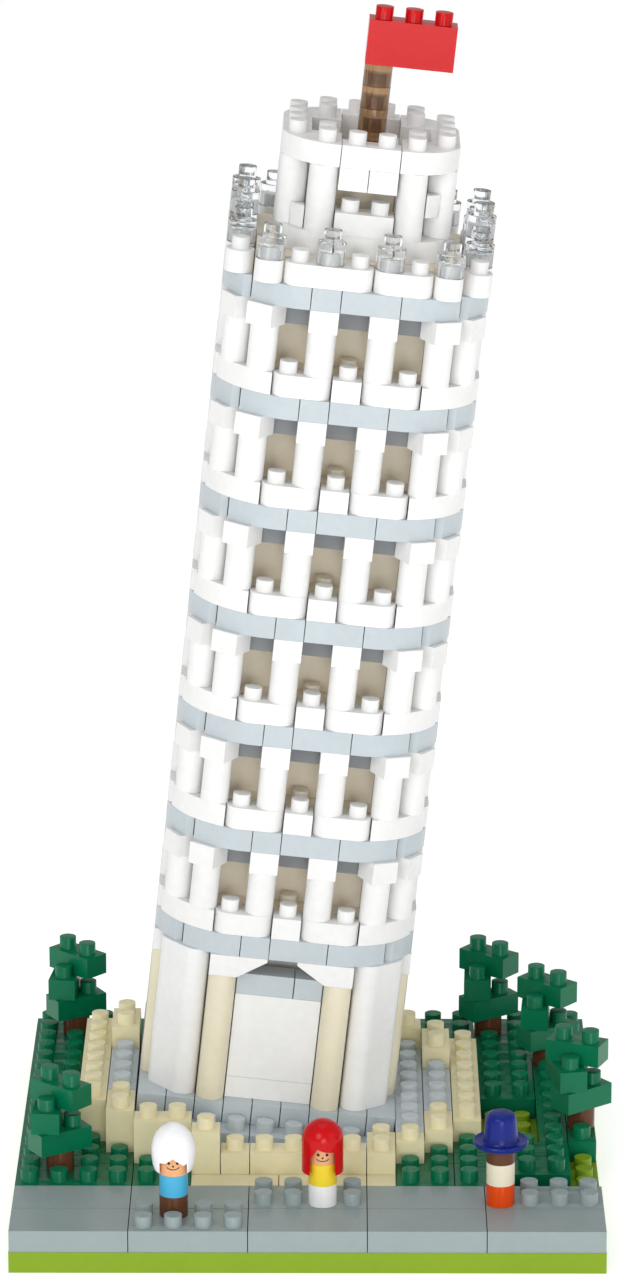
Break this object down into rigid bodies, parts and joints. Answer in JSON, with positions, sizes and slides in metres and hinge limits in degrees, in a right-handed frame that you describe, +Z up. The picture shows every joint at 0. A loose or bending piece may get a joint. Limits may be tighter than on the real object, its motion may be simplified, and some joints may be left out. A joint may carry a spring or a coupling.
{
  "type": "miniature landmark model",
  "caption": "Leaning round bell tower on a square garden plate, built from micro bricks, with a flag, five trees and three visitors that turn on their studs.",
  "frame": {"origin": "middle of the base plate's underside", "axes": "+Z up, +X to the viewer's right facing the front, +Y to the back; the paved front edge faces -Y"},
  "size_m": [0.0823, 0.08, 0.1621],
  "materials": {
    "white_plastic": "glossy moulded",
    "light_grey_plastic": "glossy moulded",
    "paving_plastic": "glossy moulded",
    "beige_plastic": "glossy moulded",
    "green_plastic": "glossy moulded",
    "lime_plastic": "glossy moulded",
    "brown_plastic": "glossy moulded",
    "red_plastic": "glossy moulded",
    "blue_plastic": "glossy moulded",
    "orange_plastic": "glossy moulded",
    "sky_plastic": "glossy moulded",
    "yellow_plastic": "glossy moulded",
    "skin_plastic": "glossy moulded",
    "clear_plastic": "glossy moulded",
    "smoke_plastic": "glossy moulded"
  },
  "bodies": {
    "root": {"base_plate": "lime_plastic", "pavement": "paving_plastic", "garden": "green_plastic", "kerb_beige": "beige_plastic", "kerb_grey": "light_grey_plastic", "foot_plate": "light_grey_plastic", "inner_beams": "light_grey_plastic", "prop_bricks": "light_grey_plastic", "foot_tiles": "light_grey_plastic", "ground_corners": "white_plastic", "ground_columns": "beige_plastic", "corbels": "white_plastic", "door_walls": "white_plastic", "door_lintels": "light_grey_plastic", "ground_core": "white_plastic", "grey_bands": "light_grey_plastic", "white_rings": "white_plastic", "columns": "white_plastic", "capitals": "white_plastic", "storey_cores": "white_plastic", "crown_ring": "white_plastic", "clear_posts": "clear_plastic", "belfry_base": "white_plastic", "belfry_columns": "white_plastic", "belfry_fill": "white_plastic", "belfry_ring": "white_plastic", "belfry_core": "beige_plastic", "pole": "smoke_plastic", "tree_trunks": "brown_plastic"},
    "flag_body": {"flag": "red_plastic"},
    "tree_left_back_leaves": {"tree_left_back": "green_plastic"},
    "tree_left_front_leaves": {"tree_left_front": "green_plastic"},
    "tree_right_back_leaves": {"tree_right_back": "green_plastic"},
    "tree_right_middle_leaves": {"tree_right_middle": "green_plastic"},
    "tree_right_front_leaves": {"tree_right_front": "green_plastic"},
    "visitor_a_body": {"visitor_a_legs": "brown_plastic", "visitor_a_torso": "sky_plastic"},
    "visitor_a_head_body": {"visitor_a_head": "skin_plastic", "visitor_a_hair": "white_plastic"},
    "visitor_b_body": {"visitor_b_legs": "white_plastic", "visitor_b_torso": "yellow_plastic"},
    "visitor_b_head_body": {"visitor_b_head": "skin_plastic", "visitor_b_hair": "red_plastic"},
    "visitor_c_body": {"visitor_c_legs": "orange_plastic", "visitor_c_torso": "beige_plastic"},
    "visitor_c_head_body": {"visitor_c_head": "brown_plastic", "visitor_c_hat": "blue_plastic"}
  },
  "joints": [
    {"name": "flag_swivel", "type": "hinge", "parent": "root", "child": "flag_body", "pos_m": [0.00942, 0.01, 0.15431], "axis": [0.1059, 0, 0.9944], "continuous": true},
    {"name": "tree_left_back_turn", "type": "hinge", "parent": "root", "child": "tree_left_back_leaves", "pos_m": [-0.034, 0.034, 0.00907], "axis": [0, 0, 1], "continuous": true},
    {"name": "tree_left_front_turn", "type": "hinge", "parent": "root", "child": "tree_left_front_leaves", "pos_m": [-0.034, -0.018, 0.00907], "axis": [0, 0, 1], "continuous": true},
    {"name": "tree_right_back_turn", "type": "hinge", "parent": "root", "child": "tree_right_back_leaves", "pos_m": [0.026, 0.034, 0.00907], "axis": [0, 0, 1], "continuous": true},
    {"name": "tree_right_middle_turn", "type": "hinge", "parent": "root", "child": "tree_right_middle_leaves", "pos_m": [0.034, 0.022, 0.00907], "axis": [0, 0, 1], "continuous": true},
    {"name": "tree_right_front_turn", "type": "hinge", "parent": "root", "child": "tree_right_front_leaves", "pos_m": [0.038, -0.002, 0.00907], "axis": [0, 0, 1], "continuous": true},
    {"name": "visitor_a_turn", "type": "hinge", "parent": "root", "child": "visitor_a_body", "pos_m": [-0.018, -0.034, 0.00601], "axis": [0, 0, 1], "continuous": true},
    {"name": "visitor_a_head_turn", "type": "hinge", "parent": "visitor_a_body", "child": "visitor_a_head_body", "pos_m": [-0.018, -0.034, 0.01213], "axis": [0, 0, 1], "continuous": true},
    {"name": "visitor_b_turn", "type": "hinge", "parent": "root", "child": "visitor_b_body", "pos_m": [0.002, -0.03, 0.00601], "axis": [0, 0, 1], "continuous": true},
    {"name": "visitor_b_head_turn", "type": "hinge", "parent": "visitor_b_body", "child": "visitor_b_head_body", "pos_m": [0.002, -0.03, 0.01213], "axis": [0, 0, 1], "continuous": true},
    {"name": "visitor_c_turn", "type": "hinge", "parent": "root", "child": "visitor_c_body", "pos_m": [0.026, -0.03, 0.00601], "axis": [0, 0, 1], "continuous": true},
    {"name": "visitor_c_head_turn", "type": "hinge", "parent": "visitor_c_body", "child": "visitor_c_head_body", "pos_m": [0.026, -0.03, 0.01213], "axis": [0, 0, 1], "continuous": true}
  ]
}
